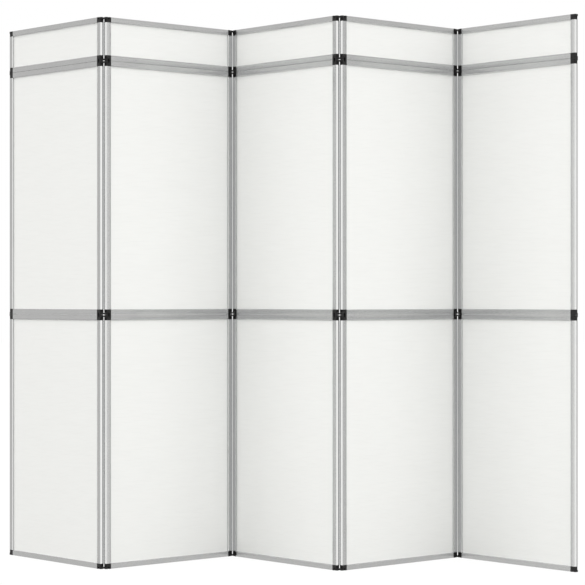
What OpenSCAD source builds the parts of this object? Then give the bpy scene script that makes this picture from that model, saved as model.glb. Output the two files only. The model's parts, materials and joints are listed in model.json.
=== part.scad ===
// Accordion folding partition: five hinged columns of three framed panels each.
// Millimetres, +Z up. The wall's line runs along X and its front faces -Y. The
// origin lies on the floor, under the middle of the middle column.

/* [Wall] */
// Height of the whole wall
wall_h = 2000; // [1600:10:2400]
// Height of the short header row
header_h = 158.5; // [120:0.5:400]
// Width of one panel, over its corner pieces
panel_w = 594.5; // [400:0.5:900]
// Turn of each column from the wall's line, as the zigzag stands
stand_angle = 45.8; // [10:0.1:80]

/* [Frame] */
// Thickness of the panels' corner pieces, front to back
frame_t = 16; // [15:0.5:21]
// Face width of the frame and its corner pieces
frame_w = 19.7; // [17:0.1:28]
// Wall of the hollow extrusion
profile_wall = 1.4; // [1:0.1:2]
// Depth of the shallow V groove along the extrusion's outer edge
groove_d = 1; // [0.5:0.1:2.5]
// Land on each side of the groove, its rounded edge included
groove_land = 0.9; // [0.7:0.1:2]
// Radius of the extrusion's outer edges
profile_r = 0.6; // [0.2:0.1:0.7]
// Width of the bevel along the sight edge, next to the board
bevel_w = 2.8; // [1:0.1:4]
// Fall of that bevel towards the board
bevel_d = 1; // [0.4:0.1:1.5]
// How far the extrusions lie below the corner pieces' surfaces
frame_step = 0.2; // [0.1:0.05:0.5]

/* [Board] */
// Thickness of the board
board_t = 4; // [3:0.5:6]
// How far the board goes into the frame
board_seat = 6.5; // [4:0.5:8]

/* [Corner pieces] */
// Length of the spigots in the extrusions
spigot_l = 24; // [15:1:35]
// Chamfer at the spigots' tips
spigot_chamfer = 1.5; // [0.5:0.1:2.5]
// Radius of the corner pieces' outer upright edges
corner_r = 1; // [0.5:0.1:2]
// Chamfer along their end face
corner_chamfer = 0.8; // [0.3:0.1:1.5]

/* [Hinges] */
// Distance from a panel's edge to its hinge pins
pin_inset = 4.25; // [3.8:0.05:5.5]
// Diameter of a hinge pin
pin_d = 4; // [3:0.5:5]
// Height of a link
link_h = 7.3; // [5:0.1:8.5]
// How far a link's sides lie inside the panels' faces
link_inset = 0.6; // [0.4:0.1:1.5]
// Chamfer round a link's faces
link_chamfer = 0.8; // [0.3:0.1:1.5]
// Depth of the web between a link's bosses, below its outer face
link_web_d = 1.5; // [0.5:0.1:2.5]
// Material left under a pin's bore
bore_floor = 2.5; // [1.5:0.1:4]
// Head of an end pin, beyond its shank all round
head_rim = 1.5; // [1:0.1:1.8]
// Thickness of that head
head_t = 1.2; // [0.8:0.1:2]
// How far the caps at the free ends stand out past the panel's edge
cap_nose = 3; // [1:0.5:5]
// Radius of the caps' outer edges
cap_r = 2; // [0.5:0.1:4]

/* [Clearances] */
// Between a pin and its bore, on the radius
pin_fit = 0.05; // [0.02:0.01:0.1]
// Between a link and the faces above and below it
link_gap = 0.2; // [0.1:0.05:0.4]
// Between a link's round end and the wall of its recess
link_side_gap = 0.35; // [0.2:0.05:0.8]
// Least gap between two columns as they swing past each other
swing_gap = 0.9; // [0.5:0.1:3]
// Between an extrusion's cut end and its corner piece
butt_gap = 0.1; // [0.05:0.05:0.3]
// Between a spigot and the extrusion's walls
spigot_fit = 0.15; // [0.05:0.05:0.3]
// Between the board and the sides of its slot
slot_fit = 0.1; // [0.05:0.05:0.3]
// Between the board's edge and the slot's floor, and at the pins' ends
end_gap = 0.4; // [0.2:0.1:0.8]

/* [Hidden] */
$fn = 48;
columns = 5;
middle = 3;
cut = 1;

tall_h = (wall_h - header_h) / 2;
row_h = [tall_h, tall_h, header_h];
row_z = [0, tall_h, 2 * tall_h];
LOWER = 0;
UPPER = 1;
HEADER = 2;
seams_z = [tall_h, 2 * tall_h];

// Extrusion, whose width is counted from its outer edge to its sight edge
face_t = frame_t / 2 - frame_step;
profile_w = frame_w - frame_step;
groove_half = face_t - groove_land;
slot_t = board_t + 2 * slot_fit;
slot_d = board_seat + end_gap;
chamber_start = groove_d + profile_wall;
chamber_end = profile_w - slot_d - profile_wall;
chamber_t = face_t - profile_wall;
ledge_t = slot_t / 2 + profile_wall;
ledge_end = profile_w - bevel_w - profile_wall;

// Hinge
pin_r = pin_d / 2;
bore_r = pin_r + pin_fit;
link_r = frame_t / 2 - link_inset;
swing_r = sqrt(pow(pin_inset, 2) + pow(frame_t / 2, 2));
link_pitch = 2 * swing_r + swing_gap;
recess_w = pin_inset + link_r + link_side_gap;
recess_h = link_h + 2 * link_gap;
bore_end = frame_w - bore_floor;
pin_end = bore_end - end_gap;
head_r = pin_r + head_rim;
counterbore_r = head_r + pin_fit;
counterbore_d = head_t + 2 * link_gap;

// Zigzag
pin_span = panel_w - 2 * pin_inset;
half_run = pin_span / 2 * cos(stand_angle);
half_rise = pin_span / 2 * sin(stand_angle);
column_pitch = 2 * half_run + link_pitch;

// ---- places ----

// Places a column's pieces, drawn with the panel along X and its foot at the origin
module at_column(column) {
    turn = column % 2 == 1 ? -stand_angle : stand_angle;
    translate([(column - middle) * column_pitch, 0, 0])
        rotate([0, 0, turn])
            children();
}

// Repeats a piece, drawn at the lower left corner, at all four corners of a row's panel
module at_corners(row) {
    for (right = [0, 1], top = [0, 1])
        translate([0, 0, row_z[row] + row_h[row] / 2])
            mirror([right, 0, 0])
                mirror([0, 0, top])
                    translate([-panel_w / 2, 0, -row_h[row] / 2])
                        children();
}

// Repeats a piece, drawn at the left edge, on both edges of a column
module at_edges() {
    for (right = [0, 1])
        mirror([right, 0, 0])
            translate([-panel_w / 2, 0, 0])
                children();
}

// Repeats a piece of the end joint, drawn upwards from 0, at each end face of the rows
module at_end_faces() {
    for (row = [LOWER, UPPER, HEADER], top = [0, 1])
        translate([0, 0, row_z[row] + row_h[row] / 2])
            mirror([0, 0, top])
                translate([0, 0, -row_h[row] / 2])
                    children();
}

// ---- frame ----

// Section of the extrusion: x from its outer edge inwards, y through its thickness
module profile_outline() {
    translate([profile_r, -face_t])
        square([profile_w - bevel_w - profile_r, 2 * face_t]);
    translate([0, profile_r - face_t])
        square([2 * profile_r, 2 * (face_t - profile_r)]);
    for (side = [-1, 1])
        translate([profile_r, side * (face_t - profile_r)])
            circle(r = profile_r);
    polygon([
        [profile_w - bevel_w, -face_t],
        [profile_w, bevel_d - face_t],
        [profile_w, face_t - bevel_d],
        [profile_w - bevel_w, face_t]
    ]);
}

// V groove in the outer edge, carried on outwards past it
module profile_groove() {
    slope = groove_half / groove_d;
    polygon([
        [-cut, -groove_half - cut * slope],
        [groove_d, 0],
        [-cut, groove_half + cut * slope]
    ]);
}

// Chamber for the spigots, and the narrow ones beside the board's slot
module profile_chambers() {
    translate([chamber_start, -chamber_t])
        square([chamber_end - chamber_start, 2 * chamber_t]);
    for (side = [0, 1])
        mirror([0, side])
            translate([chamber_start, ledge_t])
                square([ledge_end - chamber_start, chamber_t - ledge_t]);
}

module extrusion(length) {
    linear_extrude(height = length)
        difference() {
            profile_outline();
            profile_groove();
            profile_chambers();
            translate([profile_w - slot_d, -slot_t / 2])
                square([slot_d + cut, slot_t]);
        }
}

// Two stiles and two rails, cut square between the corner pieces
module panel_frame(row) {
    stile_l = row_h[row] - 2 * (frame_w + butt_gap);
    rail_l = panel_w - 2 * (frame_w + butt_gap);
    color("silver") {
        translate([0, 0, row_z[row] + frame_w + butt_gap])
            at_edges()
                translate([frame_step, 0, 0])
                    extrusion(stile_l);
        translate([0, 0, row_z[row] + row_h[row] / 2])
            for (top = [0, 1])
                mirror([0, 0, top])
                    translate([rail_l / 2, 0, frame_step - row_h[row] / 2])
                        rotate([0, -90, 0])
                            extrusion(rail_l);
    }
}

// ---- board ----

module board(row) {
    sight = frame_w - board_seat;
    size = [panel_w - 2 * sight, board_t, row_h[row] - 2 * sight];
    color("whitesmoke")
        translate([0, 0, row_z[row] + row_h[row] / 2])
            cube(size, center = true);
}

// ---- corner pieces ----

// Outline of a corner piece seen from above, its outer edges rounded
module corner_plan() {
    translate([corner_r, -frame_t / 2])
        square([frame_w - corner_r, frame_t]);
    translate([0, corner_r - frame_t / 2])
        square([2 * corner_r, frame_t - 2 * corner_r]);
    for (side = [-1, 1])
        translate([corner_r, side * (frame_t / 2 - corner_r)])
            circle(r = corner_r);
}

// Section of a corner piece across the panel, chamfered along its end face
module corner_section() {
    polygon([
        [corner_chamfer - frame_t / 2, 0],
        [frame_t / 2 - corner_chamfer, 0],
        [frame_t / 2, corner_chamfer],
        [frame_t / 2, frame_w],
        [-frame_t / 2, frame_w],
        [-frame_t / 2, corner_chamfer]
    ]);
}

// Upright spigot, rooted in the block, with a chamfered tip
module spigot() {
    near = frame_step + chamber_start + spigot_fit;
    far = frame_step + chamber_end - spigot_fit;
    tip = frame_w + spigot_l;
    rotate([90, 0, 0])
        linear_extrude(height = 2 * (chamber_t - spigot_fit), center = true)
            polygon([
                [near, frame_w - cut],
                [far, frame_w - cut],
                [far, tip - spigot_chamfer],
                [far - spigot_chamfer, tip],
                [near + spigot_chamfer, tip],
                [near, tip - spigot_chamfer]
            ]);
}

// Step at the end face in which a link or a cap lies
module link_recess() {
    translate([-cut, -frame_t, -cut])
        cube([cut + recess_w, 2 * frame_t, cut + recess_h]);
}

module pin_bore() {
    translate([pin_inset, 0, recess_h - cut])
        cylinder(r = bore_r, h = bore_end - recess_h + cut);
}

// Room for the board's corner
module board_pocket() {
    start = frame_w - slot_d;
    translate([start, -slot_t / 2, start])
        cube([slot_d + cut, slot_t, slot_d + cut]);
}

module corner_piece() {
    difference() {
        union() {
            intersection() {
                linear_extrude(height = frame_w)
                    corner_plan();
                rotate([90, 0, 90])
                    linear_extrude(height = frame_w)
                        corner_section();
            }
            spigot();
            mirror([1, 0, -1])
                spigot();
        }
        link_recess();
        pin_bore();
        board_pocket();
    }
}

module corners(row) {
    color("#232323")
        at_corners(row)
            corner_piece();
}

// ---- hinges ----

// Through hole for a pin, with a counterbore in the outer face for a head
module pin_hole() {
    translate([0, 0, -cut])
        cylinder(r = bore_r, h = link_h + 2 * cut);
    translate([0, 0, -cut])
        cylinder(r = counterbore_r, h = counterbore_d + cut);
}

// Boss at one end of a link, chamfered round both faces
module link_boss() {
    rotate_extrude()
        polygon([
            [0, 0],
            [link_r - link_chamfer, 0],
            [link_r, link_chamfer],
            [link_r, link_h - link_chamfer],
            [link_r - link_chamfer, link_h],
            [0, link_h]
        ]);
}

// Bar between the two bosses, thinner than they are on its outer side
module link_bar() {
    rotate([90, 0, 90])
        linear_extrude(height = link_pitch)
            polygon([
                [link_chamfer - link_r, link_web_d],
                [link_r - link_chamfer, link_web_d],
                [link_r, link_web_d + link_chamfer],
                [link_r, link_h - link_chamfer],
                [link_r - link_chamfer, link_h],
                [link_chamfer - link_r, link_h],
                [-link_r, link_h - link_chamfer],
                [-link_r, link_web_d + link_chamfer]
            ]);
}

// Link drawn from its first pin at the origin to its second along X, outer face down
module link() {
    difference() {
        union() {
            link_boss();
            translate([link_pitch, 0, 0])
                link_boss();
            link_bar();
        }
        for (x = [0, link_pitch])
            translate([x, 0, 0])
                pin_hole();
    }
}

// The six links of the hinge between a column and the next one
module hinge_links(column) {
    side = column % 2 == 1 ? -1 : 1;
    color("#1b1b1b")
        translate([(column - middle) * column_pitch + half_run, side * half_rise, 0])
            at_end_faces()
                translate([0, 0, link_gap])
                    link();
}

// Pin with a flat head, which holds the outermost link or cap
module end_pin() {
    head_z = link_gap + counterbore_d - link_gap / 2 - head_t;
    translate([pin_inset, 0, 0]) {
        translate([0, 0, head_z])
            cylinder(r = head_r, h = head_t);
        translate([0, 0, head_z])
            cylinder(r = pin_r, h = pin_end - head_z);
    }
}

// Long pin through a row seam: it carries two links or caps and keeps the rows in line
module seam_pin() {
    translate([pin_inset, 0, 0])
        cylinder(r = pin_r, h = 2 * pin_end, center = true);
}

module hinge_pins(column) {
    color("gainsboro")
        at_column(column)
            at_edges() {
                end_pin();
                translate([0, 0, wall_h])
                    mirror([0, 0, 1])
                        end_pin();
                for (z = seams_z)
                    translate([0, 0, z])
                        seam_pin();
            }
}

// Outline of the cap that fills the link's recess at a free end, seen from above
module cap_plan() {
    inner = recess_w - link_side_gap;
    translate([cap_r - cap_nose, -frame_t / 2])
        square([inner + cap_nose - cap_r, frame_t]);
    translate([-cap_nose, cap_r - frame_t / 2])
        square([2 * cap_r, frame_t - 2 * cap_r]);
    for (side = [-1, 1])
        translate([cap_r - cap_nose, side * (frame_t / 2 - cap_r)])
            circle(r = cap_r);
}

// Section of the cap across the panel, chamfered as the corner pieces are
module cap_section() {
    polygon([
        [corner_chamfer - frame_t / 2, 0],
        [frame_t / 2 - corner_chamfer, 0],
        [frame_t / 2, corner_chamfer],
        [frame_t / 2, link_h],
        [-frame_t / 2, link_h],
        [-frame_t / 2, corner_chamfer]
    ]);
}

module end_cap() {
    difference() {
        intersection() {
            linear_extrude(height = link_h)
                cap_plan();
            translate([-cap_nose - cut, 0, 0])
                rotate([90, 0, 90])
                    linear_extrude(height = cap_nose + recess_w + 2 * cut)
                        cap_section();
        }
        translate([pin_inset, 0, 0])
            pin_hole();
    }
}

// The six caps on a free end: the left edge of the first column, or the right of the last
module end_caps(column, right) {
    color("#232323")
        at_column(column)
            mirror([right, 0, 0])
                translate([-panel_w / 2, 0, 0])
                    at_end_faces()
                        translate([0, 0, link_gap])
                            end_cap();
}

// ---- nodes ----

for (c = [1 : columns]) {
    at_column(c) panel_frame(LOWER);
    at_column(c) panel_frame(UPPER);
    at_column(c) panel_frame(HEADER);
    at_column(c) board(LOWER);
    at_column(c) board(UPPER);
    at_column(c) board(HEADER);
    at_column(c) corners(LOWER);
    at_column(c) corners(UPPER);
    at_column(c) corners(HEADER);
    hinge_pins(c);
}
for (c = [1 : columns - 1]) {
    hinge_links(c);
}
end_caps(1, 0);  // left_end_caps
end_caps(columns, 1);  // right_end_caps
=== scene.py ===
"""Looks of an accordion folding partition: five hinged columns of three framed panels each.

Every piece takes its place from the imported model. Metres, +Z up, and the wall's front faces -Y.
The corner pieces, links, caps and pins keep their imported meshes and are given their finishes
here. The white boards are built here as the fluted sheets that they are, and the frames' bars
with the ridge along their outer edge.
"""

import json
import logging
import math
from dataclasses import dataclass
from enum import Enum
from typing import Any, ClassVar

import bpy
import numpy as np
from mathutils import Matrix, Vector, geometry

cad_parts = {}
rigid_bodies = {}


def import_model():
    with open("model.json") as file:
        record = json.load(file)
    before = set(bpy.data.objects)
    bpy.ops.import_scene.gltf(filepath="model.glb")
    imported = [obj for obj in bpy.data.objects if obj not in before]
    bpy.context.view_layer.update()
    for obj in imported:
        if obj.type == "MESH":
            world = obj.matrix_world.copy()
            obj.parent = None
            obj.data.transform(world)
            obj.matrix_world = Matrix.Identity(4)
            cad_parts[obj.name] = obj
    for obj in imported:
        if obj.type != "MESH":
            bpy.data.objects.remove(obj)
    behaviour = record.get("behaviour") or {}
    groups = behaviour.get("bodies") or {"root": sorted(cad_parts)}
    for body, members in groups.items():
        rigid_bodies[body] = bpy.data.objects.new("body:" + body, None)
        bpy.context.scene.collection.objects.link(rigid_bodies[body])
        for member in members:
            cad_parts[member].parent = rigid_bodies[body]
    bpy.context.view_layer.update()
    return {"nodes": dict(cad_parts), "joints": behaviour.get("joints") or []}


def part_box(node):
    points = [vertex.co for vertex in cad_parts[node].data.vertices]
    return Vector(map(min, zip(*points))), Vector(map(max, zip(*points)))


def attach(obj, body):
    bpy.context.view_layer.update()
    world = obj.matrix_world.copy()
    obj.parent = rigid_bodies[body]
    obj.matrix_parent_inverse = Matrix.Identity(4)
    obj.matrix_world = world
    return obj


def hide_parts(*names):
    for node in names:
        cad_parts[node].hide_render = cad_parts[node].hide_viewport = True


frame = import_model()

log = logging.getLogger("partition")

MM = 0.001
COLUMNS = 5
MIDDLE = 3

# Sockets of the Mix node that have no unique name
MIX_FACTOR, MIX_VECTOR_A, MIX_VECTOR_B, MIX_VECTOR = 0, 4, 5, 1
MIX_COLOUR_A, MIX_COLOUR_B, MIX_COLOUR = 6, 7, 2


class Row(Enum):
    """Rows of a column from the floor up, by the word that starts their nodes' names."""

    LOWER = "lower"
    UPPER = "upper"
    HEADER = "header"


class Slot(Enum):
    """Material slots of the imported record."""

    FRAME = "frame_aluminium"
    BOARD = "board_white"
    CORNER = "corner_plastic"
    LINK = "link_plastic"
    PIN = "pin_steel"


# ---- helpers ----


def linear(hex_colour: str) -> tuple[float, float, float, float]:
    """Turns a colour as it is seen on a screen into the linear one that shaders take.

    Args:
        hex_colour: sRGB colour, such as "#f4f5f1".

    Returns:
        Linear red, green and blue, and an alpha of 1.
    """
    digits = hex_colour.lstrip("#")
    channels = [int(digits[i:i + 2], 16) / 255 for i in (0, 2, 4)]
    red, green, blue = [c / 12.92 if c <= 0.04045 else ((c + 0.055) / 1.055) ** 2.4 for c in channels]
    return red, green, blue, 1.0


def add_node(
    tree: bpy.types.NodeTree,
    kind: str,
    settings: dict[str | int, Any] | None = None,
    links: dict[str | int, bpy.types.NodeSocket] | None = None,
) -> bpy.types.Node:
    """Adds one node to a material's or the world's tree.

    Args:
        tree: The tree that gets the node.
        kind: The node's type, without the words ShaderNode.
        settings: Values for the node's attributes, or for its inputs by name or number.
        links: Output sockets to join to its inputs, by name or number.

    Returns:
        The new node.
    """
    node = tree.nodes.new("ShaderNode" + kind)
    for key, value in (settings or {}).items():
        if isinstance(key, str) and hasattr(node, key):
            setattr(node, key, value)
        else:
            node.inputs[key].default_value = value
    for key, socket in (links or {}).items():
        tree.links.new(socket, node.inputs[key])
    return node


def empty_material(name: str) -> tuple[bpy.types.Material, bpy.types.NodeTree]:
    """Makes a material whose tree is still empty.

    Args:
        name: The material's name.

    Returns:
        The material and its tree.
    """
    material = bpy.data.materials.new(name)
    material.use_nodes = True
    material.node_tree.nodes.clear()
    return material, material.node_tree


def dress(node: str, material: bpy.types.Material) -> None:
    """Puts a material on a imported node's object and leaves its mesh as it is.

    Args:
        node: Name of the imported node.
        material: The finish that it gets.
    """
    piece = frame["nodes"][node]
    if not piece.material_slots:
        piece.data.materials.append(None)
    for material_slot in piece.material_slots:
        material_slot.link = "OBJECT"
        material_slot.material = material


def mesh_object(
    name: str, points: np.ndarray, faces: list[np.ndarray], sharp: float = math.radians(25)
) -> bpy.types.Object:
    """Makes an object from points and faces, each array of faces with one number of corners.

    Args:
        name: Name of the object and its mesh.
        points: Points in the model's frame, one a row.
        faces: Arrays of corner numbers, one face a row.
        sharp: Angle between two faces from which their edge isn't smoothed.

    Returns:
        The object, linked to the scene, smooth except across its sharp edges.
    """
    corners = np.concatenate([block.ravel() for block in faces]).astype(np.int32)
    counts = np.concatenate([np.full(len(block), block.shape[1], np.int32) for block in faces])
    mesh = bpy.data.meshes.new(name)
    mesh.vertices.add(len(points))
    mesh.vertices.foreach_set("co", points.astype(np.float32).ravel())
    mesh.loops.add(len(corners))
    mesh.loops.foreach_set("vertex_index", corners)
    mesh.polygons.add(len(counts))
    starts = np.cumsum(counts) - counts
    mesh.polygons.foreach_set("loop_start", starts.astype(np.int32))
    mesh.polygons.foreach_set("use_smooth", np.ones(len(counts), bool))
    mesh.update(calc_edges=True)
    mesh.validate()
    mesh.set_sharp_from_angle(angle=sharp)
    piece = bpy.data.objects.new(name, mesh)
    bpy.context.scene.collection.objects.link(piece)
    return piece


@dataclass(frozen=True)
class Placing:
    """Where a column stands, seen from above, and its turn from the wall's line."""

    centre: tuple[float, float]
    turn: float

    def to_model(self, points: np.ndarray) -> np.ndarray:
        """Turns points of the column's own frame by its turn about Z, then moves them to its centre.

        Args:
            points: Points in the column's own frame, one a row.

        Returns:
            The same points in the model's frame.
        """
        cosine, sine = math.cos(self.turn), math.sin(self.turn)
        turned = points @ np.array([[cosine, sine, 0.0], [-sine, cosine, 0.0], [0.0, 0.0, 1.0]])
        return turned + np.array([*self.centre, 0.0])

    def add_own_coordinates(self, tree: bpy.types.NodeTree) -> bpy.types.NodeSocket:
        """Adds nodes that give a point in the column's own frame: X along the panel, Y through it.

        The point is turned back about Z, and the centre, turned back as well, is taken from it.

        Args:
            tree: The material's tree.

        Returns:
            The socket that gives the point.
        """
        cosine, sine = math.cos(self.turn), math.sin(self.turn)
        x, y = self.centre
        place = add_node(tree, "TexCoord")
        own = add_node(
            tree,
            "Mapping",
            {
                "Location": (-x * cosine - y * sine, x * sine - y * cosine, 0.0),
                "Rotation": (0.0, 0.0, -self.turn),
            },
            {"Vector": place.outputs["Object"]},
        )
        return own.outputs["Vector"]


# ---- finishes ----


@dataclass(frozen=True)
class SatinAnodisedAluminium:
    """Extruded 6063 aluminium, etched and clear anodised: pale grey and satin.

    The die leaves faint lines along each bar, which stretch its reflections across them. The film
    is a little uneven from place to place. Lines of about 0.3 mm would vanish in the render, so
    they are drawn as coarse as they need to show.
    """

    pale: str = "#c7c8c8"
    dull: str = "#c0c1c2"
    roughness: tuple[float, float] = (0.17, 0.25)
    line_width: float = 1.4 * MM
    line_stretch: float = 0.004
    line_depth: float = 0.006 * MM
    line_relief: float = 0.35
    # Part of the lines' noise over which the roughness goes from its first value to its second
    line_range: tuple[float, float] = (0.3, 0.7)
    cloud_size: float = 60 * MM

    def material(self, name: str, placing: Placing, rail_half: float) -> bpy.types.Material:
        """Makes the finish for one column's frames.

        Args:
            name: The material's name.
            placing: Where the column stands.
            rail_half: Half the length of a rail, past which a point lies on a stile.

        Returns:
            The material.
        """
        material, tree = empty_material(name)
        own = placing.add_own_coordinates(tree)
        axes = add_node(tree, "SeparateXYZ", links={"Vector": own})
        reach = add_node(tree, "Math", {"operation": "ABSOLUTE"}, {0: axes.outputs["X"]})
        on_stile = add_node(
            tree, "Math", {"operation": "GREATER_THAN", 1: rail_half}, {0: reach.outputs[0]}
        )
        along_rail = add_node(
            tree, "Mapping", {"Scale": (self.line_stretch, 1.0, 1.0)}, {"Vector": own}
        )
        along_stile = add_node(
            tree, "Mapping", {"Scale": (1.0, 1.0, self.line_stretch)}, {"Vector": own}
        )
        along = add_node(
            tree,
            "Mix",
            {"data_type": "VECTOR"},
            {
                MIX_FACTOR: on_stile.outputs[0],
                MIX_VECTOR_A: along_rail.outputs["Vector"],
                MIX_VECTOR_B: along_stile.outputs["Vector"],
            },
        )
        die_lines = add_node(
            tree,
            "TexNoise",
            {"Scale": 1 / self.line_width, "Detail": 3.0},
            {"Vector": along.outputs[MIX_VECTOR]},
        )
        cloud = add_node(
            tree, "TexNoise", {"Scale": 1 / self.cloud_size, "Detail": 4.0}, {"Vector": own}
        )
        start, end = self.line_range
        smooth, rough = self.roughness
        roughness = add_node(
            tree,
            "MapRange",
            {"From Min": start, "From Max": end, "To Min": smooth, "To Max": rough},
            {"Value": die_lines.outputs["Fac"]},
        )
        colour = add_node(
            tree,
            "Mix",
            {"data_type": "RGBA", MIX_COLOUR_A: linear(self.dull), MIX_COLOUR_B: linear(self.pale)},
            {MIX_FACTOR: cloud.outputs["Fac"]},
        )
        relief = add_node(
            tree,
            "Bump",
            {"Strength": self.line_relief, "Distance": self.line_depth},
            {"Height": die_lines.outputs["Fac"]},
        )
        surface = add_node(
            tree,
            "BsdfPrincipled",
            {"Metallic": 1.0},
            {
                "Base Color": colour.outputs[MIX_COLOUR],
                "Roughness": roughness.outputs["Result"],
                "Normal": relief.outputs["Normal"],
            },
        )
        add_node(tree, "OutputMaterial", links={"Surface": surface.outputs[0]})
        return material


@dataclass(frozen=True)
class GrainedPolyamide:
    """Black glass-filled polyamide, moulded against a spark-eroded tool: deep black and fine-grained.

    The grain of about 0.15 mm is drawn a few times coarser. Paler outer edges in patches are wear
    and a painted edge highlight; handling also polishes the surface in patches.
    """

    black: str = "#0e0e0f"
    # Paler colour of the outer edges: handling wear and a painted edge highlight
    edge_highlight_and_wear: str = "#1d1d1e"
    roughness: tuple[float, float] = (0.42, 0.54)
    ior: float = 1.53
    specular: float = 0.3
    grain: float = 0.5 * MM
    grain_depth: float = 0.02 * MM
    grain_relief: float = 0.4
    patch_size: float = 10 * MM
    edge_radius: float = 0.5 * MM
    highlight_and_wear_width: float = 1.0 * MM
    # Cosines of a face to its edge-rounded normal, at no and at full painted edge highlight and wear
    highlight_and_wear_turn: tuple[float, float] = (1.0, 0.8)
    edge_samples: int = 4

    def material(self, name: str) -> bpy.types.Material:
        """Makes the finish.

        Args:
            name: The material's name.

        Returns:
            The material.
        """
        material, tree = empty_material(name)
        place = add_node(tree, "TexCoord")
        grain = add_node(
            tree,
            "TexNoise",
            {"Scale": 1 / self.grain, "Detail": 2.0},
            {"Vector": place.outputs["Object"]},
        )
        cloud = add_node(
            tree,
            "TexNoise",
            {"Scale": 1 / self.patch_size, "Detail": 3.0},
            {"Vector": place.outputs["Object"]},
        )
        rounded = add_node(
            tree, "Bevel", {"samples": self.edge_samples, "Radius": self.edge_radius}
        )
        highlight_bevel = add_node(tree, "Bevel", {"samples": self.edge_samples, "Radius": self.highlight_and_wear_width})
        flat = add_node(tree, "NewGeometry")
        facing = add_node(
            tree,
            "VectorMath",
            {"operation": "DOT_PRODUCT"},
            {0: highlight_bevel.outputs["Normal"], 1: flat.outputs["True Normal"]},
        )
        clear_of_highlight, full_highlight_and_wear = self.highlight_and_wear_turn
        on_edge = add_node(
            tree,
            "MapRange",
            {"From Min": clear_of_highlight, "From Max": full_highlight_and_wear},
            {"Value": facing.outputs["Value"]},
        )
        # Paler edges in patches: handling wear, and a painted edge highlight
        painted_highlight_and_wear = add_node(
            tree,
            "Math",
            {"operation": "MULTIPLY"},
            {0: on_edge.outputs["Result"], 1: cloud.outputs["Fac"]},
        )
        colour = add_node(
            tree,
            "Mix",
            {"data_type": "RGBA", MIX_COLOUR_A: linear(self.black), MIX_COLOUR_B: linear(self.edge_highlight_and_wear)},
            {MIX_FACTOR: painted_highlight_and_wear.outputs[0]},
        )
        smooth, rough = self.roughness
        roughness = add_node(
            tree, "MapRange", {"To Min": rough, "To Max": smooth}, {"Value": cloud.outputs["Fac"]}
        )
        relief = add_node(
            tree,
            "Bump",
            {"Strength": self.grain_relief, "Distance": self.grain_depth},
            {"Height": grain.outputs["Fac"], "Normal": rounded.outputs["Normal"]},
        )
        surface = add_node(
            tree,
            "BsdfPrincipled",
            {"IOR": self.ior, "Specular IOR Level": self.specular},
            {
                "Base Color": colour.outputs[MIX_COLOUR],
                "Roughness": roughness.outputs["Result"],
                "Normal": relief.outputs["Normal"],
            },
        )
        add_node(tree, "OutputMaterial", links={"Surface": surface.outputs[0]})
        return material


@dataclass(frozen=True)
class TwinWallPolypropylene:
    """White twin-wall polypropylene, extruded: matt skins on webs that show as faint level lines.

    The skins shrink a little over each web and are a shade denser there. The lines come and go
    along the sheet. Both are kept as faint as on the real sheet.
    """

    white: str = "#e9eae9"
    web_line: str = "#e2e3e2"
    roughness: float = 0.52
    ior: float = 1.49
    # Part of the wave over a web that shows as its line
    line_crest: tuple[float, float] = (0.4, 1.0)
    patch_length: float = 90 * MM
    patch_flutes: float = 2.0
    # Part of the patches' noise over which a line comes up
    patch_range: tuple[float, float] = (0.35, 0.7)
    ripple_size: float = 160 * MM
    ripple_depth: float = 0.25 * MM
    ripple_relief: float = 1.0

    def material(self, name: str, foot: float, pitch: float) -> bpy.types.Material:
        """Makes the finish for one row's boards.

        Args:
            name: The material's name.
            foot: Height of the boards' lower edge, where the first web lies.
            pitch: Distance from web to web.

        Returns:
            The material.
        """
        material, tree = empty_material(name)
        place = add_node(tree, "TexCoord")
        axes = add_node(tree, "SeparateXYZ", links={"Vector": place.outputs["Object"]})
        above = add_node(tree, "Math", {"operation": "SUBTRACT", 1: foot}, {0: axes.outputs["Z"]})
        phase = add_node(
            tree, "Math", {"operation": "MULTIPLY", 1: 2 * math.pi / pitch}, {0: above.outputs[0]}
        )
        wave = add_node(tree, "Math", {"operation": "COSINE"}, {0: phase.outputs[0]})
        start, crest = self.line_crest
        on_web = add_node(
            tree,
            "MapRange",
            {"interpolation_type": "SMOOTHSTEP", "From Min": start, "From Max": crest},
            {"Value": wave.outputs[0]},
        )
        across, up = 1 / self.patch_length, 1 / (self.patch_flutes * pitch)
        level = add_node(
            tree, "Mapping", {"Scale": (across, across, up)}, {"Vector": place.outputs["Object"]}
        )
        patches = add_node(
            tree, "TexNoise", {"Scale": 1.0, "Detail": 2.0}, {"Vector": level.outputs["Vector"]}
        )
        faint, full = self.patch_range
        patchy = add_node(
            tree, "MapRange", {"From Min": faint, "From Max": full}, {"Value": patches.outputs["Fac"]}
        )
        line = add_node(
            tree,
            "Math",
            {"operation": "MULTIPLY"},
            {0: on_web.outputs["Result"], 1: patchy.outputs["Result"]},
        )
        colour = add_node(
            tree,
            "Mix",
            {"data_type": "RGBA", MIX_COLOUR_A: linear(self.white), MIX_COLOUR_B: linear(self.web_line)},
            {MIX_FACTOR: line.outputs[0]},
        )
        ripples = add_node(
            tree,
            "TexNoise",
            {"Scale": 1 / self.ripple_size, "Detail": 1.0},
            {"Vector": place.outputs["Object"]},
        )
        relief = add_node(
            tree,
            "Bump",
            {"Strength": self.ripple_relief, "Distance": self.ripple_depth},
            {"Height": ripples.outputs["Fac"]},
        )
        surface = add_node(
            tree,
            "BsdfPrincipled",
            {"IOR": self.ior, "Roughness": self.roughness},
            {"Base Color": colour.outputs[MIX_COLOUR], "Normal": relief.outputs["Normal"]},
        )
        add_node(tree, "OutputMaterial", links={"Surface": surface.outputs[0]})
        return material


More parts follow.
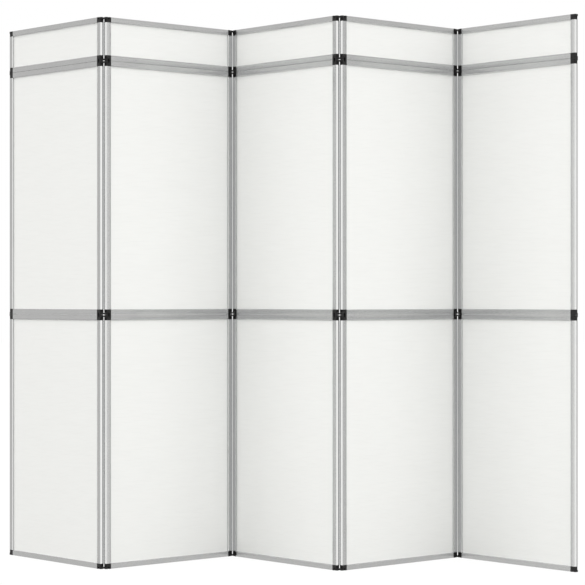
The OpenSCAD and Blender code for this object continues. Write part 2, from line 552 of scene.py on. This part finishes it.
@dataclass(frozen=True)
class ZincPlatedSteel:
    """Turned steel with clear passivated zinc: blue-grey and half bright, clouded by the bath."""

    bright: str = "#c3c7cb"
    clouded: str = "#a9adb2"
    roughness: tuple[float, float] = (0.22, 0.4)
    cloud_size: float = 3 * MM
    turning: float = 0.4 * MM
    turning_stretch: float = 0.05
    turning_depth: float = 0.01 * MM
    turning_relief: float = 0.3

    def material(self, name: str) -> bpy.types.Material:
        """Makes the finish.

        Args:
            name: The material's name.

        Returns:
            The material.
        """
        material, tree = empty_material(name)
        place = add_node(tree, "TexCoord")
        cloud = add_node(
            tree,
            "TexNoise",
            {"Scale": 1 / self.cloud_size, "Detail": 4.0},
            {"Vector": place.outputs["Object"]},
        )
        across = self.turning_stretch
        turned = add_node(
            tree, "Mapping", {"Scale": (across, across, 1.0)}, {"Vector": place.outputs["Object"]}
        )
        rings = add_node(
            tree, "TexNoise", {"Scale": 1 / self.turning}, {"Vector": turned.outputs["Vector"]}
        )
        colour = add_node(
            tree,
            "Mix",
            {"data_type": "RGBA", MIX_COLOUR_A: linear(self.clouded), MIX_COLOUR_B: linear(self.bright)},
            {MIX_FACTOR: cloud.outputs["Fac"]},
        )
        smooth, rough = self.roughness
        roughness = add_node(
            tree, "MapRange", {"To Min": smooth, "To Max": rough}, {"Value": cloud.outputs["Fac"]}
        )
        relief = add_node(
            tree,
            "Bump",
            {"Strength": self.turning_relief, "Distance": self.turning_depth},
            {"Height": rings.outputs["Fac"]},
        )
        surface = add_node(
            tree,
            "BsdfPrincipled",
            {"Metallic": 1.0},
            {
                "Base Color": colour.outputs[MIX_COLOUR],
                "Roughness": roughness.outputs["Result"],
                "Normal": relief.outputs["Normal"],
            },
        )
        add_node(tree, "OutputMaterial", links={"Surface": surface.outputs[0]})
        return material


# ---- the wall ----


@dataclass(frozen=True)
class TwinWallBoard:
    """One board: two thin skins on level webs, open along its two upright edges."""

    width: float
    height: float
    thickness: float
    nominal_pitch: float = 4.8 * MM
    skin: float = 0.35 * MM
    web: float = 0.3 * MM
    shrink: float = 0.05 * MM
    steps: int = 6

    @property
    def flutes(self) -> int:
        """Number of flutes, the whole number nearest to the nominal pitch."""
        return round(self.height / self.nominal_pitch)

    @property
    def pitch(self) -> float:
        """Distance from web to web."""
        return self.height / self.flutes

    def points(self) -> np.ndarray:
        """Works out the board's points in its column's frame, with its foot at the origin.

        A skin's surface is half the thickness from the middle, less the shrink times the squared
        cosine of pi * z / pitch, so that it is drawn in over each web. A flute is a rectangle, a
        skin away from the surface and half a web away from each end of its pitch.

        Returns:
            Front line, back line, then four corners a flute, each at both upright edges.
        """
        z = np.linspace(0.0, self.height, self.flutes * self.steps + 1)
        y = self.thickness / 2 - self.shrink * np.cos(math.pi * z / self.pitch) ** 2
        low = np.arange(self.flutes) * self.pitch + self.web / 2
        high = low + self.pitch - self.web
        inner = np.full(self.flutes, self.thickness / 2 - self.skin)
        hole_y = np.stack([-inner, -inner, inner, inner], axis=1).ravel()
        hole_z = np.stack([low, high, high, low], axis=1).ravel()
        section = np.stack([np.concatenate([-y, y, hole_y]), np.concatenate([z, z, hole_z])], axis=1)
        edges = np.array([-0.5, 0.5]) * self.width
        x = np.broadcast_to(edges[:, None, None], (2, len(section), 1))
        both = np.broadcast_to(section, (2, *section.shape))
        return np.concatenate([x, both], axis=2).reshape(-1, 3)

    def faces(self) -> list[np.ndarray]:
        """Joins the points: skins, flute walls, the two closed ends and the two open edges.

        Returns:
            Arrays of quads and of the many-cornered strips between the skin line and a flute.
        """
        levels = self.flutes * self.steps + 1
        side = 2 * levels + 4 * self.flutes
        step = np.arange(levels - 1)
        front = np.stack([step, step + side, step + side + 1, step + 1], axis=1)
        back = front[:, ::-1] + levels
        last = levels - 1
        ends = np.array([
            [0, levels, levels + side, side],
            [last, last + side, last + levels + side, last + levels],
        ])
        hole = 2 * levels + 4 * np.arange(self.flutes)[:, None] + np.arange(4)
        following = np.roll(hole, -1, axis=1)
        walls = np.stack([hole, following, following + side, hole + side], axis=2).reshape(-1, 4)
        start = self.steps * np.arange(self.flutes)[:, None]
        run = np.arange(self.steps + 1)
        front_strip = np.concatenate([start + run, hole[:, [1, 0]]], axis=1)
        back_strip = np.concatenate([levels + start + run[::-1], hole[:, [3, 2]]], axis=1)
        foot_web = np.concatenate([start, hole[:, [0, 3]], levels + start], axis=1)
        end = start + self.steps
        head_web = np.concatenate([end, levels + end, hole[:, [2, 1]]], axis=1)
        left = [front_strip, back_strip, foot_web, head_web]
        right = [block[:, ::-1] + side for block in left]
        return [front, back, ends, walls, *left, *right]


@dataclass(frozen=True)
class OuterEdge:
    """Outer edge of a bar: its ridge's place, inwards from the panel's edge, and its slope."""

    ridge: float
    slope: float


@dataclass(frozen=True)
class Extrusion:
    """Section of the frame's hollow bar: u from the panel's edge inwards, v through its thickness.

    Both halves of the outer edge slope away from a low ridge along its middle. A stile's slopes
    are steeper, so that each half mirrors another part of the room, and its ridge stands proud,
    which leaves a narrow gap at each hinge. A rail's edge is nearly flat and lies a little inside
    the panel's edge, clear of the row next to it. A bevel leads down to the board along the sight
    edge.
    """

    width: float = 19.7 * MM
    half: float = 7.8 * MM
    corner: float = 0.3 * MM
    corner_steps: int = 7
    bevel_width: float = 2.8 * MM
    bevel_fall: float = 1.0 * MM
    slot_half: float = 2.1 * MM
    slot_depth: float = 6.9 * MM
    wall: float = 1.4 * MM
    chamber_start: float = 2.6 * MM

    SHARP: ClassVar[float] = math.radians(13)
    STILE: ClassVar[OuterEdge] = OuterEdge(-2.3 * MM, math.radians(10))
    RAIL: ClassVar[OuterEdge] = OuterEdge(0.15 * MM, math.radians(1.5))

    def outline(self, edge: OuterEdge) -> np.ndarray:
        """Works out the section's outer line, turning left about its inside.

        A rounded corner is an arc about a centre that lies its radius under the face. It runs
        from the direction of the sloping edge to that of the face.

        Args:
            edge: The bar's outer edge.

        Returns:
            Points as rows of u and v.
        """
        fall = (self.half - self.corner) * math.tan(edge.slope)
        centre_u = edge.ridge + fall + self.corner / math.cos(edge.slope)
        centre_v = self.half - self.corner
        turn = np.linspace(math.pi - edge.slope, math.pi / 2, self.corner_steps + 1)
        back = np.stack([
            centre_u + self.corner * np.cos(turn),
            centre_v + self.corner * np.sin(turn),
        ], axis=1)
        sight = np.array([
            [self.width - self.bevel_width, self.half],
            [self.width, self.half - self.bevel_fall],
            [self.width, self.slot_half],
            [self.width - self.slot_depth, self.slot_half],
        ])
        ridge = np.array([[edge.ridge, 0.0]])
        half_line = np.concatenate([back, sight])
        other_half = half_line[::-1] * np.array([1.0, -1.0])
        return np.concatenate([ridge, half_line, other_half])[::-1]

    def chamber(self) -> np.ndarray:
        """Works out the chamber that the spigots go into, turning right about its inside.

        Returns:
            Its four corners as rows of u and v.
        """
        end = self.width - self.slot_depth - self.wall
        reach = self.half - self.wall
        return np.array([
            [self.chamber_start, -reach],
            [self.chamber_start, reach],
            [end, reach],
            [end, -reach],
        ])

    def bar(self, length: float, edge: OuterEdge) -> tuple[np.ndarray, list[np.ndarray]]:
        """Carries the section along a straight path, as a closed tube with two flat ends.

        A wall's quad joins a point and its follower at the start to both at the end.

        Args:
            length: Length of the bar.
            edge: Its outer edge.

        Returns:
            Points as rows of u, v and the way along the bar, and arrays of quads and triangles.
        """
        rings = [self.outline(edge), self.chamber()]
        section = np.concatenate(rings)
        count = len(section)
        along = np.repeat([0.0, length], count)[:, None]
        points = np.concatenate([np.tile(section, (2, 1)), along], axis=1)
        starts = np.cumsum([0, *map(len, rings)])
        follower = np.concatenate([
            first + np.roll(np.arange(len(ring)), -1) for first, ring in zip(starts, rings)
        ])
        each = np.arange(count)
        walls = np.stack([each, follower, follower + count, each + count], axis=1)
        loops = [[Vector((u, v, 0.0)) for u, v in ring] for ring in rings]
        cap = np.array(geometry.tessellate_polygon(loops))
        first, second, third = section[cap[:, 0]], section[cap[:, 1]], section[cap[:, 2]]
        side, other = second - first, third - first
        turns_left = side[:, 0] * other[:, 1] - side[:, 1] * other[:, 0] > 0
        cap = np.where(turns_left[:, None], cap, cap[:, ::-1])
        return points, [walls, cap[:, ::-1], cap + count]

    def frame(
        self, width: float, low: float, high: float, butt: float
    ) -> tuple[np.ndarray, list[np.ndarray]]:
        """Lays two stiles and two rails round a panel, in its column's frame.

        Each bar is a turned copy: a stile's path runs up, and a rail's along the panel.

        Args:
            width: Width of the panel over its corner pieces.
            low: Height of the panel's foot.
            high: Height of its head.
            butt: Gap between a bar's end and its corner piece.

        Returns:
            Points and arrays of faces of the four bars.
        """
        inset = self.width + butt
        upright, upright_faces = self.bar(high - low - 2 * inset, self.STILE)
        level, level_faces = self.bar(width - 2 * inset, self.RAIL)
        u, v, along = upright.T
        left = np.stack([u - width / 2, v, along + low + inset], axis=1)
        right = np.stack([width / 2 - u, -v, along + low + inset], axis=1)
        u, v, along = level.T
        centred = along - (width / 2 - inset)
        foot = np.stack([-centred, v, low + u], axis=1)
        head = np.stack([centred, v, high - u], axis=1)
        bars = [(left, upright_faces), (right, upright_faces), (foot, level_faces), (head, level_faces)]
        starts = np.cumsum([0, *(len(points) for points, _ in bars)])
        faces = [block + start for start, (_, blocks) in zip(starts, bars) for block in blocks]
        return np.concatenate([points for points, _ in bars]), faces


@dataclass(frozen=True)
class Column:
    """One column: three panels over each other, with the pins in both its edges."""

    number: int
    placing: Placing
    board_thickness: float = 4 * MM
    board_seat: float = 6.5 * MM
    butt_gap: float = 0.1 * MM

    EXTRUSION: ClassVar[Extrusion] = Extrusion()
    FRAME_FINISH: ClassVar[SatinAnodisedAluminium] = SatinAnodisedAluminium()

    @classmethod
    def all(cls) -> list["Column"]:
        """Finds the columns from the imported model, numbered from the left.

        The middle column's pins give its turn from the wall's line. Its neighbours turn the other
        way. A column's centre is the centre of its lower board's box.

        Returns:
            The five columns.
        """
        pins = sorted(tuple(j["pos_m"]) for j in frame["joints"] if j["parent"] == f"column_{MIDDLE}")
        (left_x, left_y, _), (right_x, right_y, _) = pins
        middle_turn = math.atan2(right_y - left_y, right_x - left_x)
        columns = []
        for number in range(1, COLUMNS + 1):
            turn = middle_turn if number % 2 == MIDDLE % 2 else -middle_turn
            low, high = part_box(f"{Row.LOWER.value}_board_{number}")
            centre = (low + high) / 2
            columns.append(cls(number, Placing((centre.x, centre.y), turn)))
        return columns

    @property
    def body(self) -> str:
        """Name of the body that the column's pieces ride on."""
        return f"column_{self.number}"

    def node(self, row: Row, kind: str) -> str:
        """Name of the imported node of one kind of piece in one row."""
        return f"{row.value}_{kind}_{self.number}"

    def board_width(self, row: Row) -> float:
        """Width of a row's board, from its box and the column's turn.

        The box of a turned board is width * cos(turn) + thickness * sin(turn) long in X.

        Args:
            row: The board's row.

        Returns:
            The width in metres.
        """
        low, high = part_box(self.node(row, "board"))
        through = self.board_thickness * abs(math.sin(self.placing.turn))
        return (high.x - low.x - through) / math.cos(self.placing.turn)

    def build_board(self, row: Row, finishes: dict[Row, bpy.types.Material]) -> None:
        """Builds a row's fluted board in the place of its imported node.

        Args:
            row: The board's row.
            finishes: The rows' finishes. A row's is made and added with its first board.
        """
        low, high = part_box(self.node(row, "board"))
        board = TwinWallBoard(self.board_width(row), high.z - low.z, self.board_thickness)
        if row not in finishes:
            name = f"twin_wall_polypropylene_{row.value}"
            finishes[row] = TwinWallPolypropylene().material(name, low.z, board.pitch)
        points = self.placing.to_model(board.points() + np.array([0.0, 0.0, low.z]))
        piece = mesh_object(f"{row.value}_twin_wall_{self.number}", points, board.faces())
        piece.data.materials.append(finishes[row])
        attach(piece, self.body)
        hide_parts(self.node(row, "board"))
        log.info("%s: %d flutes, pitch %.2f mm", piece.name, board.flutes, board.pitch / MM)

    def build_frames(self) -> None:
        """Builds the bars of the column's three frames and gives them their anodised finish.

        The corner pieces' box gives a row's foot and head. The board's width and seats give the
        panel's width, and a rail ends a frame's width from the panel's edge.
        """
        width = self.board_width(Row.LOWER) + 2 * (self.EXTRUSION.width - self.board_seat)
        rail_half = width / 2 - self.EXTRUSION.width
        finish = self.FRAME_FINISH.material(f"satin_anodised_{self.number}", self.placing, rail_half)
        for row in Row:
            low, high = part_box(self.node(row, "corners"))
            points, faces = self.EXTRUSION.frame(width, low.z, high.z, self.butt_gap)
            name = f"{row.value}_extrusions_{self.number}"
            piece = mesh_object(name, self.placing.to_model(points), faces, self.EXTRUSION.SHARP)
            piece.data.materials.append(finish)
            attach(piece, self.body)
            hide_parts(self.node(row, "frame"))
        log.info("column_%d: three frames of %.1f mm", self.number, width / MM)

    def dress_corners(self, finish: bpy.types.Material) -> None:
        """Gives the corner pieces of the column's three rows their finish.

        Args:
            finish: The grained plastic.
        """
        for row in Row:
            dress(self.node(row, "corners"), finish)
        log.info("column_%d: corner pieces", self.number)


# ---- the studio ----


@dataclass(frozen=True)
class Softbox:
    """Soft rectangular lamp that neither the camera nor a mirrored ray sees."""

    name: str
    place: tuple[float, float, float]
    size: tuple[float, float]
    watts: float
    aim: tuple[float, float, float] = (0.0, 0.0, 1.0)

    def build(self) -> bpy.types.Object:
        """Makes the lamp, turned so that its face looks at its aim.

        Returns:
            The lamp, linked to the scene.
        """
        light = bpy.data.lights.new(self.name, "AREA")
        light.shape = "RECTANGLE"
        light.size, light.size_y = self.size
        light.energy = self.watts
        lamp = bpy.data.objects.new(self.name, light)
        lamp.location = self.place
        look = Vector(self.aim) - Vector(self.place)
        lamp.rotation_euler = look.to_track_quat("-Z", "Y").to_euler()
        lamp.visible_camera = False
        lamp.visible_glossy = False
        bpy.context.scene.collection.objects.link(lamp)
        return lamp


@dataclass(frozen=True)
class Studio:
    """Pale studio: white floor and surroundings, a bright screen on each side, and soft lamps."""

    # Levels of the surroundings, where 1 is white
    room: float = 0.8
    screens: float = 1.6
    front: float = 1.15
    below: float = 0.68
    # Where one level goes over into the next, as parts of a direction along the axis or upwards
    turn: float = math.radians(3.2)
    screen_near: tuple[float, float] = (-0.15, -0.2)
    screen_far: tuple[float, float] = (-0.62, -0.75)
    screen_foot: tuple[float, float] = (-0.2, -0.4)
    white: str = "#ffffff"
    warm_white: str = "#fffefc"
    floor_half: float = 40.0
    floor_cells: int = 4
    floor_white: float = 0.85
    floor_glow: float = 1.12
    floor_grey: str = "#a0a09e"

    LAMPS: ClassVar[tuple[Softbox, ...]] = (
        Softbox("left_softbox", (-6.0, -1.8, 1.6), (3.4, 4.0), 43.0),
        Softbox("right_softbox", (6.0, -1.8, 1.6), (3.4, 4.0), 41.0),
        Softbox("overhead_softbox", (0.0, -1.2, 4.5), (5.0, 2.4), 2.0),
        Softbox("front_softbox", (3.5, -5.5, 1.4), (2.4, 2.0), 21.0),
        Softbox("low_softbox", (0.0, -5.5, 0.5), (3.0, 0.9), 59.0),
        Softbox("back_softbox", (0.0, 6.5, 2.6), (5.0, 2.5), 110.0),
    )

    def build_floor(self) -> None:
        """Lays the floor: white as seen, darkened where the wall's shadow falls.

        Mirrored rays pass through it, because the surroundings hold what lies below as well. A
        cell joins a point of the grid and its follower to the two beside them in the next row.
        """
        count = self.floor_cells + 1
        steps = np.linspace(-self.floor_half, self.floor_half, count)
        x, y = np.meshgrid(steps, steps, indexing="ij")
        points = np.stack([x, y, np.zeros_like(x)], axis=2).reshape(-1, 3)
        cells = np.arange(self.floor_cells)
        first = (cells[:, None] * count + cells).ravel()
        quads = np.stack([first, first + count, first + count + 1, first + 1], axis=1)
        floor = mesh_object("studio_floor", points, [quads])
        material, tree = empty_material("white_floor")
        matt = add_node(tree, "BsdfDiffuse", {"Color": linear(self.floor_grey)})
        glow = add_node(tree, "Emission", {"Color": linear(self.white), "Strength": self.floor_glow})
        path = add_node(tree, "LightPath")
        share = add_node(
            tree,
            "Math",
            {"operation": "MULTIPLY", 1: self.floor_white},
            {0: path.outputs["Is Camera Ray"]},
        )
        surface = add_node(
            tree, "MixShader", links={0: share.outputs[0], 1: matt.outputs[0], 2: glow.outputs[0]}
        )
        add_node(tree, "OutputMaterial", links={"Surface": surface.outputs[0]})
        floor.data.materials.append(material)
        floor.visible_glossy = False

    def build_world(self) -> None:
        """Makes the surroundings: an even room, a bright screen on each side, and a lighter front.

        A direction's depth is its part along the studio's axis, from -1 at the camera to 1 behind
        the wall. The level goes smoothly from the room's to the screens' over one range of depth,
        and on to the front's over the other. Past the screens' foot it goes down to the level of
        the ground. The camera sees white all round.
        """
        world = bpy.data.worlds.new("studio")
        bpy.context.scene.world = world
        world.use_nodes = True
        tree = world.node_tree
        tree.nodes.clear()
        direction = add_node(tree, "TexCoord")
        depth = add_node(
            tree,
            "VectorMath",
            {"operation": "DOT_PRODUCT", 1: (math.sin(self.turn), math.cos(self.turn), 0.0)},
            {0: direction.outputs["Generated"]},
        )
        steps = [
            (self.screen_near, self.room, self.screens),
            (self.screen_far, 0.0, self.front - self.screens),
        ]
        near, far = [
            add_node(
                tree,
                "MapRange",
                {
                    "interpolation_type": "SMOOTHSTEP",
                    "From Min": start,
                    "From Max": end,
                    "To Min": before,
                    "To Max": after,
                },
                {"Value": depth.outputs["Value"]},
            )
            for (start, end), before, after in steps
        ]
        level = add_node(
            tree, "Math", {"operation": "ADD"}, {0: near.outputs["Result"], 1: far.outputs["Result"]}
        )
        axes = add_node(tree, "SeparateXYZ", links={"Vector": direction.outputs["Generated"]})
        foot_start, foot_end = self.screen_foot
        grounded = add_node(
            tree,
            "MapRange",
            {
                "interpolation_type": "SMOOTHSTEP",
                "From Min": foot_start,
                "From Max": foot_end,
                "To Max": self.below,
            },
            {"Value": axes.outputs["Z"], "To Min": level.outputs[0]},
        )
        lit = add_node(
            tree,
            "Background",
            {"Color": linear(self.warm_white)},
            {"Strength": grounded.outputs["Result"]},
        )
        white = add_node(tree, "Background", {"Color": linear(self.white), "Strength": 1.0})
        path = add_node(tree, "LightPath")
        surface = add_node(
            tree,
            "MixShader",
            links={0: path.outputs["Is Camera Ray"], 1: lit.outputs[0], 2: white.outputs[0]},
        )
        add_node(tree, "OutputWorld", links={"Surface": surface.outputs[0]})

    def build(self) -> None:
        """Builds the floor, the surroundings and the lamps."""
        self.build_floor()
        self.build_world()
        for softbox in self.LAMPS:
            softbox.build()
        log.info("studio: %d softboxes", len(self.LAMPS))


@dataclass(frozen=True)
class PhotographersCamera:
    """Level camera, at the place and with the lens that frame the wall as photographed."""

    place: tuple[float, float, float] = (0.5883, -8.0974, 0.9849)
    yaw: float = math.radians(2.877)
    lens: float = 134.83
    shift: tuple[float, float] = (-0.07, 0.008)
    sight: float = 200.0

    def build(self) -> None:
        """Makes the camera and gives it to the scene."""
        data = bpy.data.cameras.new("camera")
        data.lens = self.lens
        data.shift_x, data.shift_y = self.shift
        data.clip_end = self.sight
        camera = bpy.data.objects.new("camera", data)
        camera.location = self.place
        camera.rotation_euler = (math.pi / 2, 0.0, self.yaw)
        bpy.context.scene.collection.objects.link(camera)
        bpy.context.scene.camera = camera


def main() -> None:
    """Builds and dresses the columns, hinges and caps, then the studio and the camera."""
    logging.basicConfig(level=logging.INFO, format="%(message)s")
    bpy.context.scene.view_settings.view_transform = "Standard"
    corner_finish = GrainedPolyamide().material("grained_polyamide_corners")
    smoother = GrainedPolyamide(black="#0b0b0c", roughness=(0.36, 0.48))
    link_finish = smoother.material("grained_polyamide_links")
    pin_finish = ZincPlatedSteel().material("zinc_plated_steel")
    board_finishes: dict[Row, bpy.types.Material] = {}
    for column in Column.all():
        column.build_frames()
        column.dress_corners(corner_finish)
        dress(f"hinge_pins_{column.number}", pin_finish)
        for row in Row:
            column.build_board(row, board_finishes)
    for hinge in range(1, COLUMNS):
        dress(f"hinge_links_{hinge}", link_finish)
    for node in ("left_end_caps", "right_end_caps"):
        dress(node, corner_finish)
    Studio().build()
    PhotographersCamera().build()


if __name__ == "__main__":
    main()
